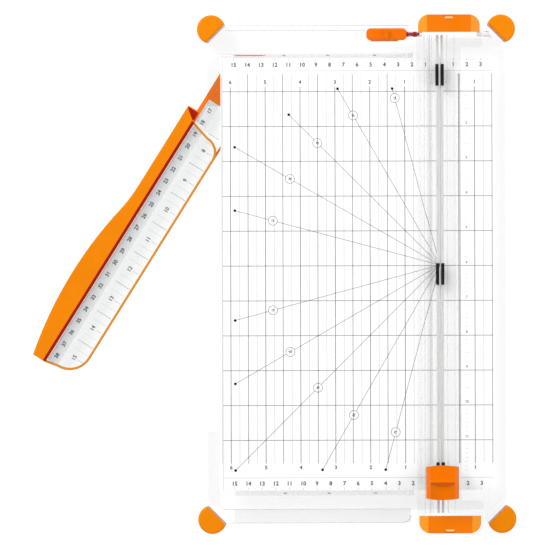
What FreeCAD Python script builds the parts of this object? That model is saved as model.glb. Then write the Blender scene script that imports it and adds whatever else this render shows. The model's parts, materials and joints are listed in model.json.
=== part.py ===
"""Rotary paper trimmer: clear base, hinged cutting rail with a rotary blade carriage, swing-out ruler arm.

Millimetres. +X runs to the right, across the cut, +Y to the rear, along the cut, and +Z up from the table.
The origin lies on the table under the middle of the trimmer's box, with the ruler arm part way out.
"""

import FreeCAD, Part
import math
import os
import re
import Sketcher

DIMS = {
    # plan of the base
    "base_left": -49.2,
    "base_right": 168.1,
    "base_half": 181.4,
    "deck_left": -39.3,
    "deck_right": 160.0,
    "fence_half": 157.4,
    "lip_start": 177.2,
    "lip_front": 171.0,
    "slope_wide": 3.6,
    "slope_low": 13.4,
    "gap_left": 98.5,
    "gap_right": 152.0,
    "gap_half": 171.5,
    "flange_rear": 122.7,
    "flange_front": 114.0,
    "flange_drop": 165.0,
    "wall": 3.0,
    "rib": 2.0,
    # heights of the base
    "base_low": 2.0,
    "deck_low": 10.0,
    "deck_top": 12.0,
    "sheet_top": 13.0,
    "border_low": 13.5,
    "border_top": 16.5,
    "lip_top": 15.0,
    "rim_top": 14.0,
    "flange_low": 7.0,
    # ribs and walls under the deck
    "bay_right": 6.0,
    "bay_front": 114.0,
    "beam_left": 112.0,
    "beam_right": 126.0,
    "beam_floor": 3.5,
    # fixed blade and its slot
    "steel_left": 118.7,
    "steel_right": 119.9,
    "steel_low": 4.0,
    "steel_half": 160.0,
    "slot_right": 122.0,
    "slot_half": 166.0,
    "steel_screw_pitch": 70.0,
    "steel_screw_head": 2.2,
    "thin_screw": 1.2,
    "thick_screw": 1.5,
    "steel_screw_level": 7.0,
    # corner feet, in a frame at each foot's centre with +X towards the base
    "foot_x_left": -46.0,
    "foot_x_right": 164.9,
    "foot_y": 178.5,
    "foot_radius": 10.45,
    "foot_chord": 4.3,
    "foot_top": 15.0,
    "foot_round": 1.8,
    "foot_screw_head": 2.8,
    "strip_end": 7.9,
    "strip_half": 9.8,
    "strip_top": 14.0,
    "chamfer_half": 12.2,
    "corner_back": 30.0,
    "corner_side": 40.0,
    "tongue_half": 4.0,
    "tongue_low": 5.0,
    "tongue_top": 9.0,
    # rail hinge and its lock
    "hinge_y": 174.5,
    "hinge_level": 20.0,
    "hinge_radius": 2.0,
    "fit": 0.05,
    "ear_front": 170.2,
    "ear_rear": 178.6,
    "ear_top": 23.0,
    "ear_left": 97.6,
    "ear_left_end": 101.0,
    "ear_right": 152.8,
    "ear_right_end": 156.8,
    "lock_left": 66.9,
    "lock_right": 96.4,
    "lock_front": 170.2,
    "lock_rear": 179.0,
    "lock_low": 16.8,
    "lock_top": 22.8,
    "lock_corner": 3.2,
    "lock_stroke": 5.0,
    "lock_slack": 0.4,
    "ridge_left": 80.0,
    "ridge_right": 83.0,
    "ridge_inset": 1.2,
    "ridge_rise": 1.8,
    "bolt_left": 88.0,
    "bolt_right": 104.2,
    "bolt_tip": 1.6,
    "stem_left": 72.0,
    "stem_right": 88.0,
    "stem_front": 172.5,
    "stem_rear": 176.3,
    "keeper_left": 70.0,
    "keeper_right": 90.0,
    "keeper_front": 169.5,
    "keeper_rear": 176.8,
    "keeper_low": 11.0,
    "keeper_top": 13.2,
    # cutting rail
    "rail_left": 103.1,
    "rail_right": 135.5,
    "rail_low": 13.8,
    "rail_floor": 16.0,
    "rail_half": 190.5,
    "bar_half": 174.0,
    "plate_left": 103.5,
    "plate_right": 151.2,
    "plate_start": 165.0,
    "plate_corner": 9.0,
    "groove_left": 119.55,
    "groove_right": 120.95,
    "groove_half": 171.0,
    "left_wall": 112.4,
    "left_wall_end": 114.4,
    "right_wall": 128.2,
    "right_wall_end": 130.2,
    "wall_top": 25.4,
    "hook_low": 23.4,
    "hook_out": 1.2,
    "rod_rib_top": 17.2,
    "rod_rib_near": 2.4,
    "rod_rib_far": 3.2,
    "rod_radius": 1.0,
    "rod_offset": 1.6,
    "blade_middle": 120.25,
    "clip_pitch": 145.0,
    "clip_half": 7.8,
    "clip_top": 18.9,
    "clip_outer": 1.5,
    "clip_leg": 1.04,
    "strip_low": 13.3,
    # end caps
    "cap_left": 104.6,
    "cap_right": 149.5,
    "cap_inner": 176.1,
    "cap_outer": 188.8,
    "cap_corner": 8.0,
    "cap_shoulder": 23.5,
    "cap_slope": 6.4,
    "cap_top": 27.0,
    "nick_left": 123.0,
    "nick_right": 131.0,
    "nick_deep": 1.2,
    "cap_screw_left": 113.0,
    "cap_screw_right": 141.0,
    "cap_screw_y": 182.4,
    "cap_screw_head": 2.6,
    "cap_screw_end": 22.0,
    # carriage, at its parked place
    "park_y": -151.9,
    "shell_left": 109.6,
    "shell_right": 133.4,
    "shell_half": 12.6,
    "shell_bulge": 1.1,
    "shell_low": 17.5,
    "shell_top": 40.0,
    "shell_shoulder": 30.6,
    "shell_slope": 3.4,
    "skirt_left": 110.8,
    "skirt_right": 131.8,
    "hook_top": 22.9,
    "channel_top": 28.0,
    "housing_left": 114.9,
    "housing_right": 127.8,
    "housing_top": 31.0,
    "housing_half": 10.5,
    "scoop_half": 10.4,
    "scoop_deep": 4.0,
    "scoop_wall": 0.3,
    "scoop_reach": 3.3,
    "back_start": 3.0,
    "back_level": 38.5,
    "back_radius": 2.2,
    # rotary blade and its axle
    "axle_level": 23.5,
    "axle_radius": 1.5,
    "blade_radius": 12.0,
    "blade_thick": 0.4,
    "blade_bevel": 1.2,
    "axle_end": 125.0,
    "axle_head": 2.8,
    "axle_head_thick": 0.6,
    "bush_radius": 3.0,
    "bush_end": 121.4,
    "collar_radius": 4.0,
    "collar_end": 119.9,
    "washer_left": 120.6,
    "washer_right": 121.3,
    "nut_radius": 3.2,
    "nut_thick": 2.4,
    "holder_left": 116.2,
    "holder_right": 119.2,
    "holder_low": 20.2,
    "holder_half": 9.0,
    # swing arm, in a frame at its pivot with +X along the arm
    "pivot_x": -17.8,
    "pivot_y": 138.0,
    "pivot_screw_head": 3.2,
    "arm_angle": -122.15,
    "arm_low": 3.0,
    "arm_step": 6.4,
    "arm_rim_top": 9.4,
    "arm_top": 14.0,
    "hub_radius": 21.9,
    "hub_end": 24.8,
    "boss_radius": 5.0,
    "boss_low": 2.7,
    "shoulder_radius": 9.0,
    "shoulder_low": 6.7,
    "liner_radius": 6.5,
    "rim_edge": 6.9,
    "rim": 1.8,
    "fence_line": -19.7,
    "inner_edge": -23.0,
    "handle_face": -22.0,
    "grip_edge": -30.2,
    "grip_body": 44.0,
    "grip_corner": 37.6,
    "toe_end": 46.0,
    "grip_mid_u": 127.0,
    "grip_mid": -32.2,
    "grip_flat_end": 106.0,
    "grip_in_radius": 111.0,
    "grip_out_radius": 299.0,
    "arm_end": 250.2,
    "grip_end": -30.1,
    "near_u": 61.0,
    "near_radius": 12.4,
    "far_u": 231.0,
    "far_radius": 17.4,
    "tray_start": 44.6,
    "grip_start": 36.3,
    "grip_skin": 2.2,
    "window_end": 46.2,
    "window_low": 3.6,
    "window_top": 5.5,
    "scale_low": 5.6,
    "scale_top": 7.6,
}

ALIAS = re.compile(r"\b[a-z][a-z0-9_]*\b")
PLANES = {"XY": "XY_Plane", "XZ": "XZ_Plane", "YZ": "YZ_Plane"}
UP = FreeCAD.Vector(0, 0, 1)

doc = FreeCAD.newDocument("paper_trimmer")
sheet = doc.addObject("Spreadsheet::Sheet", "dims")
for row, (alias, number) in enumerate(DIMS.items(), start=1):
    sheet.set(f"A{row}", alias)
    sheet.set(f"B{row}", str(number))
    sheet.setAlias(f"B{row}", alias)
doc.recompute()

nodes = []


def linked(expression):
    """The expression with every dimension named as a cell of the sheet."""
    return ALIAS.sub(lambda word: f"dims.{word[0]}" if word[0] in DIMS else word[0], expression)


def value(expression):
    """What an expression over the sheet's dimensions comes to now."""
    return float(sheet.evalExpression(linked(expression)))


def bind(item, prop, expression):
    item.setExpression(prop, linked(expression))


def bind_base(item, x, y, z):
    """Ties an object's place to three expressions."""
    for letter, expression in zip("xyz", (x, y, z)):
        bind(item, f"Placement.Base.{letter}", expression)


def block(x, y, z):
    """A box between two expressions along each axis."""
    item = doc.addObject("Part::Box", "block")
    for side, (start, end) in zip(("Length", "Width", "Height"), (x, y, z)):
        bind(item, side, f"({end}) - ({start})")
    bind_base(item, x[0], y[0], z[0])
    return item


def rod(axis, radius, start, end, centre):
    """A cylinder along an axis from start to end; centre gives the other two places, in X, Y, Z order."""
    item = doc.addObject("Part::Cylinder", "rod")
    turns = {
        "X": FreeCAD.Rotation(FreeCAD.Vector(0, 1, 0), 90),
        "Y": FreeCAD.Rotation(FreeCAD.Vector(1, 0, 0), -90),
        "Z": FreeCAD.Rotation(),
    }
    item.Placement.Rotation = turns[axis]
    bind(item, "Radius", radius)
    bind(item, "Height", f"({end}) - ({start})")
    place = list(centre)
    place.insert("XYZ".index(axis), start)
    bind_base(item, *place)
    return item


def merge(*parts):
    """One shape out of several that touch or overlap."""
    item = doc.addObject("Part::MultiFuse", "merge")
    item.Shapes = list(parts)
    item.Refine = True
    return item


def group(*parts):
    """Several separate solids kept as one sub-part."""
    item = doc.addObject("Part::Compound", "group")
    item.Links = list(parts)
    return item


def carve(base, *tools):
    item = doc.addObject("Part::Cut", "carve")
    item.Base = base
    item.Tool = tools[0] if len(tools) == 1 else merge(*tools)
    item.Refine = True
    return item


def common(first, second):
    item = doc.addObject("Part::MultiCommon", "common")
    item.Shapes = [first, second]
    return item


def arc_between(start, end, radius, turn):
    """The short arc from start to end that bends left or right as it goes."""
    chord = end - start
    side = 1 if turn == "left" else -1
    height = math.sqrt(max(radius * radius - chord.Length**2 / 4, 0.0))
    across = FreeCAD.Vector(-chord.y, chord.x, 0).normalize() * side
    centre = (start + end) / 2 + across * height
    angles = [math.atan2(point.y - centre.y, point.x - centre.x) for point in (start, end)]
    if turn == "right":
        angles.reverse()
    circle = Part.Circle(centre, UP, radius)
    return Part.ArcOfCircle(circle, *angles)


def draw(sketch, outline):
    """A closed outline. Each corner is (x, y), or (x, y, radius, turn) where an arc leads to the next corner."""
    points = [FreeCAD.Vector(value(corner[0]), value(corner[1]), 0) for corner in outline]
    ends = []
    for index, corner in enumerate(outline):
        here = points[index]
        there = points[(index + 1) % len(points)]
        if len(corner) == 2:
            sketch.addGeometry(Part.LineSegment(here, there), False)
            ends.append((1, 2))
        else:
            sketch.addGeometry(arc_between(here, there, value(corner[2]), corner[3]), False)
            ends.append((1, 2) if corner[3] == "left" else (2, 1))
    for index in range(len(outline)):
        after = (index + 1) % len(outline)
        sketch.addConstraint(Sketcher.Constraint("Coincident", index, ends[index][1], after, ends[after][0]))
    for index, corner in enumerate(outline):
        first = ends[index][0]
        for kind, expression in zip(("DistanceX", "DistanceY"), corner):
            number = sketch.addConstraint(Sketcher.Constraint(kind, -1, 1, index, first, value(expression)))
            bind(sketch, f"Constraints[{number}]", expression)
        if len(corner) == 4:
            number = sketch.addConstraint(Sketcher.Constraint("Radius", index, value(corner[2])))
            bind(sketch, f"Constraints[{number}]", corner[2])


def sketch_on(body, plane, outline, height):
    """A sketch on one of the body's own planes, lifted along that plane's normal."""
    sketch = body.newObject("Sketcher::SketchObject", "outline")
    support = next(item for item in body.Origin.OriginFeatures if item.Role == PLANES[plane])
    sketch.AttachmentSupport = [(support, "")]
    sketch.MapMode = "FlatFace"
    bind(sketch, "AttachmentOffset.Base.z", height)
    draw(sketch, outline)
    return sketch


def prism(plane, outline, start, end):
    """A body padded from an outline, from start to end along the axis across its plane."""
    body = doc.addObject("PartDesign::Body", "prism")
    # the normal of the XZ plane looks along -Y, so there the pad begins at its far end
    sketch = sketch_on(body, plane, outline, f"-({end})" if plane == "XZ" else start)
    pad = body.newObject("PartDesign::Pad", "pad")
    pad.Profile = sketch
    bind(pad, "Length", f"({end}) - ({start})")
    body.Tip = pad
    return body


def turned(outline):
    """A body turned a full circle about its own X axis, from an outline of X and radius."""
    body = doc.addObject("PartDesign::Body", "turned")
    sketch = sketch_on(body, "XZ", outline, "0")
    revolution = body.newObject("PartDesign::Revolution", "revolution")
    revolution.Profile = sketch
    revolution.ReferenceAxis = (sketch, ["H_Axis"])
    revolution.Angle = 360
    body.Tip = revolution
    return body


def edges_where(shape, test):
    return [f"Edge{number}" for number, edge in enumerate(shape.Edges, start=1) if test(edge)]


def soften(body, test, radius):
    """Rounds the body's edges that pass the test."""
    doc.recompute()
    before = body.Tip
    fillet = body.newObject("PartDesign::Fillet", "fillet")
    fillet.Base = (before, edges_where(before.Shape, test))
    bind(fillet, "Radius", radius)
    body.Tip = fillet
    return body


def level_edge(height):
    """A test for edges that lie flat at a height."""
    level = value(height)
    return lambda edge: abs(edge.BoundBox.ZMin - level) < 1e-3 and abs(edge.BoundBox.ZMax - level) < 1e-3


def node(label, item):
    item.Label = label
    nodes.append(item)
    return item


def ends(sign, start, end):
    """A stretch of Y at the rear, or the same one mirrored to the front."""
    return (start, end) if sign > 0 else (f"-({end})", f"-({start})")


def on_corner(item, x_side, y_side):
    """Places an item made in a foot's own frame at one of the base's corners."""
    angle = math.degrees(math.atan2(-y_side, -x_side))
    item.Placement.Rotation = FreeCAD.Rotation(UP, angle)
    bind_base(item, "foot_x_right" if x_side > 0 else "foot_x_left", "foot_y" if y_side > 0 else "-foot_y", "0")
    return item


def on_pivot(item):
    """Places an item made in the arm's own frame at the arm's pivot, at its rest angle."""
    bind(item, "Placement.Rotation.Angle", "arm_angle * 1 deg")
    bind_base(item, "pivot_x", "pivot_y", "0")
    return item


CORNERS = {
    "rear_left": (-1, 1),
    "rear_right": (1, 1),
    "front_left": (-1, -1),
    "front_right": (1, -1),
}


def lip_line(sign):
    """Where the border's raised top ends and its lower lip starts; the lip at the front is the wider one."""
    return "lip_start" if sign > 0 else "lip_front"


def border_slope(sign):
    """A tool that slopes the border's inner edge down to the bed, left of the rail's gap."""
    start, end = ends(sign, "fence_half", "fence_half + slope_wide")
    foot, crest = (start, end) if sign > 0 else (end, start)
    corners = [(foot, "slope_low"), (crest, "border_top"), (crest, "border_top + 1"), (foot, "border_top + 1")]
    return prism("YZ", corners, "deck_left", "gap_left - wall / 2")


def border(sign):
    """The raised border across one end of the deck, left and right of the gap that the rail's end lies in."""
    lip = lip_line(sign)
    parts = []
    for x in (("base_left", "gap_left"), ("gap_right", "base_right")):
        parts.append(block(x, ends(sign, "fence_half", lip), ("border_low", "border_top")))
        parts.append(block(x, ends(sign, lip, "base_half"), ("base_low", "lip_top")))
    for x in (("deck_left", "gap_left"), ("gap_right", "base_right")):
        parts.append(block(x, ends(sign, "fence_half", "fence_half + wall"), ("deck_low", "border_top")))
    for x in (("gap_left - wall", "gap_left"), ("gap_right", "gap_right + wall")):
        parts.append(block(x, ends(sign, "fence_half", lip), ("base_low", "border_top")))
    gap = ("gap_left", "gap_right")
    parts.append(block(gap, ends(sign, "fence_half", "gap_half"), ("deck_low", "deck_top")))
    parts.append(block(gap, ends(sign, "gap_half - wall", "gap_half"), ("base_low", "deck_low")))
    return parts


def flange(sign):
    """The flange left of the deck at one end. The rear one stands clear of the arm that passes under it."""
    start = "flange_rear" if sign > 0 else "flange_front"
    low = "flange_low" if sign > 0 else "base_low"
    across = ("base_left", "deck_left")
    length = ends(sign, start, lip_line(sign))
    parts = [
        block(across, length, ("border_low", "border_top")),
        block(("base_left", "base_left + wall"), length, (low, "border_top")),
        block(("deck_left - wall", "deck_left + 1"), ends(sign, start, "fence_half"), ("deck_low", "deck_top")),
        block(("deck_left - wall", "deck_left"), ends(sign, start, "fence_half + wall"), ("deck_low", "border_top")),
        block(across, ends(sign, start, f"{start} + wall"), (low, "border_top")),
    ]
    outer_wall = ("base_left", "base_left + wall")
    parts.append(block(outer_wall, ends(sign, "flange_drop", lip_line(sign)), ("base_low", "border_top")))
    return parts


def under_deck():
    """The ribs under the deck right of the arm's bay, and the trough under the cut."""
    length = ("-fence_half", "fence_half")
    under = ("base_low", "deck_low")
    parts = [block((f"bay_right + {step}", f"bay_right + {step} + rib"), length, under) for step in (0, 32, 66, 140)]
    for rib_y in (-105, -35, 35, 105):
        parts.append(block(("bay_right", "deck_right"), (f"{rib_y} - rib / 2", f"{rib_y} + rib / 2"), ("4", "deck_low")))
    parts.append(block(("beam_left", "beam_right"), ("-gap_half", "gap_half"), ("base_low", "deck_top")))
    parts.append(block(("deck_left - wall", "bay_right"), ("-bay_front - rib", "-bay_front"), under))
    return parts


def pivot_boss():
    at_pivot = ("pivot_x", "pivot_y")
    return [
        rod("Z", "boss_radius", "boss_low", "deck_top", at_pivot),
        rod("Z", "shoulder_radius", "shoulder_low", "deck_top", at_pivot),
    ]


def corner_mount():
    """The strip, the wall and the tongue that carry one foot, in the foot's own frame."""
    strip = block(("foot_chord", "strip_end"), ("-strip_half", "strip_half"), ("base_low", "strip_top"))
    inner = ("strip_end", "strip_end + wall")
    wall = block(inner, ("-chamfer_half", "chamfer_half"), ("base_low", "lip_top"))
    tongue_half = ("-tongue_half", "tongue_half")
    tongue = block(("-tongue_half", "foot_chord"), tongue_half, ("tongue_low", "tongue_top"))
    hole = rod("Z", "thin_screw + fit", "tongue_low", "tongue_top", ("0", "0"))
    return carve(merge(strip, wall, tongue), hole)


def base_frame():
    deck = block(("deck_left", "deck_right"), ("-fence_half - wall", "fence_half + wall"), ("deck_low", "deck_top"))
    rim = block(("deck_right", "base_right"), ("-fence_half", "fence_half"), ("deck_low", "rim_top"))
    outer = block(("base_right - wall", "base_right"), ("-lip_start", "lip_start"), ("base_low", "rim_top"))
    parts = [deck, rim, outer, *under_deck(), *pivot_boss()]
    for sign in (1, -1):
        parts += border(sign) + flange(sign)
    ears = [
        block(("ear_left", "ear_left_end"), ("ear_front", "ear_rear"), ("deck_low", "ear_top")),
        block(("ear_right", "ear_right_end"), ("ear_front", "ear_rear"), ("border_low", "ear_top")),
    ]
    hinge = ("hinge_y", "hinge_level")
    screw_ys = [f"steel_screw_pitch * {step}" for step in (-2, -1, 0, 1, 2)]
    slot_x = ("stem_left - lock_stroke - lock_slack", "stem_right + lock_slack")
    slot_y = ("stem_front - lock_slack", "stem_rear + lock_slack")
    tools = [
        block(("steel_left", "slot_right"), ("-slot_half", "slot_half"), ("beam_floor", "border_top")),
        block(slot_x, slot_y, ("deck_top", "lock_low")),
        rod("X", "hinge_radius + fit", "ear_left - 1", "ear_left_end + 1", hinge),
        rod("X", "hinge_radius + fit", "ear_right - 1", "ear_right_end + 1", hinge),
        rod("Z", "thick_screw + fit", "boss_low - 1", "9.2", ("pivot_x", "pivot_y")),
    ]
    tools += [rod("X", "thin_screw + fit", "beam_left - 1", "steel_left + 1", (y, "steel_screw_level")) for y in screw_ys]
    tools += [border_slope(1), border_slope(-1)]
    for sides in CORNERS.values():
        beyond = block(("-corner_back", "strip_end"), ("-corner_side", "corner_side"), ("-1", "ear_top"))
        tools.append(recentre(on_corner(beyond, *sides), sides))
    shell = carve(merge(*parts, *ears), *tools)
    mounts = [on_corner(corner_mount(), *sides) for sides in CORNERS.values()]
    clear = ("ear_left_end", "gap_right")
    gaps = [block(clear, ends(sign, "gap_half", "base_half + 9"), ("0", "ear_top")) for sign in (1, -1)]
    return node("base_frame", carve(merge(shell, *mounts), *gaps))


def recentre(tool, sides):
    """Moves a corner's cutting block, whose own corner is its origin, so that it turns about the foot's centre."""
    start = FreeCAD.Vector(-value("corner_back"), -value("corner_side"), 0)
    shift = tool.Placement.Rotation.multVec(start)
    x = "foot_x_right" if sides[0] > 0 else "foot_x_left"
    y = "foot_y" if sides[1] > 0 else "-foot_y"
    bind_base(tool, f"{x} + ({shift.x})", f"{y} + ({shift.y})", "-1")
    return tool


def platform():
    """The white sheets that paper lies on, left and right of the cut, and the fixed steel edge between them."""
    length = ("-fence_half", "fence_half")
    sheet_z = ("deck_top", "sheet_top")
    node("cutting_platform", block(("deck_left", "steel_left"), length, sheet_z))
    node("offcut_platform", block(("slot_right", "deck_right"), length, sheet_z))
    steel = block(("steel_left", "steel_right"), ("-steel_half", "steel_half"), ("steel_low", "sheet_top"))
    screw_ys = [f"steel_screw_pitch * {step}" for step in (-2, -1, 0, 1, 2)]
    holes = [rod("X", "thin_screw + fit", "steel_left - 1", "steel_right + 1", (y, "steel_screw_level")) for y in screw_ys]
    node("fixed_blade", carve(steel, *holes))
    screws = []
    for y in screw_ys:
        shank = rod("X", "thin_screw", "beam_left - 0.5", "steel_right", (y, "steel_screw_level"))
        head = rod("X", "steel_screw_head", "beam_left - 1.5", "beam_left", (y, "steel_screw_level"))
        screws.append(merge(shank, head))
    node("fixed_blade_screws", group(*screws))


def foot():
    """A round foot cut straight where it meets the base, with a slot for the base's tongue."""
    half = "sqrt(foot_radius ^ 2 - foot_chord ^ 2)"
    back = "-foot_radius"
    outline = [
        ("foot_chord", half, "foot_radius", "left"),
        (back, "0", "foot_radius", "left"),
        ("foot_chord", f"-{half}"),
    ]
    body = prism("XY", outline, "0", "foot_top")
    soften(body, level_edge("foot_top"), "foot_round")
    soften(body, level_edge("0"), "foot_round / 3")
    slot = block(("-tongue_half", "foot_chord + 1"), ("-tongue_half", "tongue_half"), ("tongue_low", "tongue_top"))
    hole = rod("Z", "thin_screw + fit", "-1", "tongue_low + 1", ("0", "0"))
    recess = rod("Z", "foot_screw_head + fit", "-1", "2", ("0", "0"))
    return carve(body, slot, hole, recess)


def feet():
    screws = []
    for name, sides in CORNERS.items():
        node(f"{name}_foot", on_corner(foot(), *sides))
        x = "foot_x_right" if sides[0] > 0 else "foot_x_left"
        y = "foot_y" if sides[1] > 0 else "-foot_y"
        shank = rod("Z", "thin_screw", "1.5", "8.5", (x, y))
        head = rod("Z", "foot_screw_head", "0.6", "2", (x, y))
        screws.append(merge(shank, head))
    node("foot_screws", group(*screws))


def arm_pivot():
    at_pivot = ("pivot_x", "pivot_y")
    washer = rod("Z", "shoulder_radius", "2", "boss_low", at_pivot)
    hole = rod("Z", "thick_screw + fit", "1", "boss_low + 1", at_pivot)
    node("arm_pivot_washer", carve(washer, hole))
    shank = rod("Z", "thick_screw", "1.5", "9", at_pivot)
    head = rod("Z", "pivot_screw_head", "0.7", "2", at_pivot)
    node("arm_pivot_screw", merge(shank, head))


def hinge_lock():
    """The thumb slide on the rear border, whose bolt is the rail's left hinge pin."""
    corner = "lock_corner"
    outline = [
        ("lock_left", f"lock_front + {corner}", corner, "left"),
        (f"lock_left + {corner}", "lock_front"),
        (f"lock_right - {corner}", "lock_front", corner, "left"),
        ("lock_right", f"lock_front + {corner}"),
        ("lock_right", f"lock_rear - {corner}", corner, "left"),
        (f"lock_right - {corner}", "lock_rear"),
        (f"lock_left + {corner}", "lock_rear", corner, "left"),
        ("lock_left", f"lock_rear - {corner}"),
    ]
    body = prism("XY", outline, "lock_low", "lock_top")
    soften(body, level_edge("lock_top"), "lock_corner / 2")
    ridge_y = ("lock_front + ridge_inset", "lock_rear - ridge_inset")
    ridge = block(("ridge_left", "ridge_right"), ridge_y, ("lock_top - 1", "lock_top + ridge_rise"))
    hinge = ("hinge_y", "hinge_level")
    bore = rod("X", "hinge_radius + fit", "bolt_left", "lock_right + 1", hinge)
    node("lock_slide", carve(merge(body, ridge), bore))
    shaft = rod("X", "hinge_radius", "bolt_left", "bolt_right", hinge)
    tip = doc.addObject("Part::Cone", "tip")
    tip.Placement.Rotation = FreeCAD.Rotation(FreeCAD.Vector(0, 1, 0), 90)
    bind(tip, "Radius1", "hinge_radius")
    bind(tip, "Radius2", "hinge_radius / 2")
    bind(tip, "Height", "bolt_tip")
    bind_base(tip, "bolt_right", *hinge)
    node("lock_bolt", merge(shaft, tip))
    stem = block(("stem_left", "stem_right"), ("stem_front", "stem_rear"), ("keeper_top - 1", "lock_low"))
    under = ("keeper_low", "keeper_top")
    foot_plate = block(("keeper_left", "keeper_right"), ("keeper_front", "keeper_rear"), under)
    node("lock_keeper", merge(stem, foot_plate))


def rail_bar():
    """The rail's length: two floors with the blade's groove between them, and a hooked wall on each."""
    rib_out = "rod_offset + rod_rib_near"
    rib_far = "rod_offset + rod_rib_far"
    left = [
        ("rail_left", "rail_low"),
        ("groove_left", "rail_low"),
        ("groove_left", "rail_floor"),
        (f"blade_middle - ({rib_out})", "rail_floor"),
        (f"blade_middle - ({rib_out})", "rod_rib_top"),
        (f"blade_middle - ({rib_far})", "rod_rib_top"),
        (f"blade_middle - ({rib_far})", "rail_floor"),
        ("left_wall_end", "rail_floor"),
        ("left_wall_end", "wall_top"),
        ("left_wall - hook_out", "wall_top"),
        ("left_wall - hook_out", "hook_low"),
        ("left_wall", "hook_low"),
        ("left_wall", "rail_floor"),
        ("left_wall - 1.6", "rail_floor"),
        ("rail_left", "rail_low + 0.6"),
    ]
    right = [
        ("groove_right", "rail_low"),
        ("rail_right", "rail_low"),
        ("rail_right", "rail_floor - 1"),
        ("rail_right - 1", "rail_floor"),
        ("right_wall_end", "rail_floor"),
        ("right_wall_end", "hook_low"),
        ("right_wall_end + hook_out", "hook_low"),
        ("right_wall_end + hook_out", "wall_top"),
        ("right_wall", "wall_top"),
        ("right_wall", "rail_floor"),
        (f"blade_middle + {rib_far}", "rail_floor"),
        (f"blade_middle + {rib_far}", "rod_rib_top"),
        (f"blade_middle + {rib_out}", "rod_rib_top"),
        (f"blade_middle + {rib_out}", "rail_floor"),
        ("groove_right", "rail_floor"),
    ]
    return [prism("XZ", profile, "-bar_half", "bar_half") for profile in (left, right)]


def rail_plate(sign):
    """The wide plate at one end of the rail, with its outer corners rounded."""
    corner = "plate_corner"
    y_start = "plate_start" if sign > 0 else "-plate_start"
    y_corner = f"rail_half - {corner}" if sign > 0 else f"-(rail_half - {corner})"
    y_end = "rail_half" if sign > 0 else "-rail_half"
    turn = "left" if sign > 0 else "right"
    outline = [
        ("plate_left", y_start),
        ("plate_right", y_start),
        ("plate_right", y_corner, corner, turn),
        (f"plate_right - {corner}", y_end),
        (f"plate_left + {corner}", y_end, corner, turn),
        ("plate_left", y_corner),
    ]
    return prism("XY", outline, "rail_low", "rail_floor")


def rail_ears():
    rear = ("ear_front", "ear_rear")
    height = ("rail_floor - 1", "ear_top")
    return [
        block(("plate_left", "plate_left + 4"), rear, height),
        block(("plate_right - 4", "plate_right"), rear, height),
    ]


def cutting_rail():
    ears = rail_ears()
    hinge = ("hinge_y", "hinge_level")
    tools = [
        block(("groove_left", "groove_right"), ("-groove_half", "groove_half"), ("rail_low - 1", "rail_floor + 1")),
        rod("X", "hinge_radius + fit", "plate_left - 1", "plate_left + 5", hinge),
        rod("X", "hinge_radius + fit", "plate_right - 5", "plate_right + 1", hinge),
    ]
    for y in ("cap_screw_y", "-cap_screw_y"):
        for x in ("cap_screw_left", "cap_screw_right"):
            tools.append(rod("Z", "thick_screw + fit", "rail_low - 1", "rail_floor + 1", (x, y)))
    whole = merge(*rail_bar(), rail_plate(1), rail_plate(-1), *ears)
    node("cutting_rail", carve(whole, *tools))


def end_cap(sign):
    """A hollow cap over one end plate, with sloping shoulders and two screw bosses."""
    corner = "cap_corner"
    y_inner = "cap_inner" if sign > 0 else "-cap_inner"
    y_corner = f"cap_outer - {corner}" if sign > 0 else f"-(cap_outer - {corner})"
    y_outer = "cap_outer" if sign > 0 else "-cap_outer"
    turn = "left" if sign > 0 else "right"
    plan = [
        ("cap_left", y_inner),
        ("cap_right", y_inner),
        ("cap_right", y_corner, corner, turn),
        (f"cap_right - {corner}", y_outer),
        (f"cap_left + {corner}", y_outer, corner, turn),
        ("cap_left", y_corner),
    ]
    front_view = [
        ("cap_left", "rail_floor"),
        ("cap_right", "rail_floor"),
        ("cap_right", "cap_shoulder"),
        ("cap_right - cap_slope", "cap_top"),
        ("cap_left + cap_slope", "cap_top"),
        ("cap_left", "cap_shoulder"),
    ]
    length = ends(sign, "cap_inner", "cap_outer")
    solid = common(prism("XY", plan, "rail_floor", "cap_top"), prism("XZ", front_view, *length))
    hollow_y = ends(sign, "cap_inner + 2", "cap_outer - 2.2")
    hollow = block(("cap_left + 4.4", "cap_right - 4.4"), hollow_y, ("rail_floor - 1", "cap_top - 2.2"))
    nick_y = ends(sign, "cap_outer - nick_deep", "cap_outer + 1")
    nick = block(("nick_left", "nick_right"), nick_y, ("cap_top - nick_deep", "cap_top + 1"))
    shell = carve(solid, hollow, nick)
    y = "cap_screw_y" if sign > 0 else "-cap_screw_y"
    bosses = [rod("Z", "3", "rail_floor", "cap_top - 1", (x, y)) for x in ("cap_screw_left", "cap_screw_right")]
    holes = [rod("Z", "thick_screw + fit", "rail_floor - 1", "cap_screw_end", (x, y)) for x in ("cap_screw_left", "cap_screw_right")]
    tools = holes + rail_ears() if sign > 0 else holes
    return carve(merge(shell, *bosses), *tools)


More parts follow.
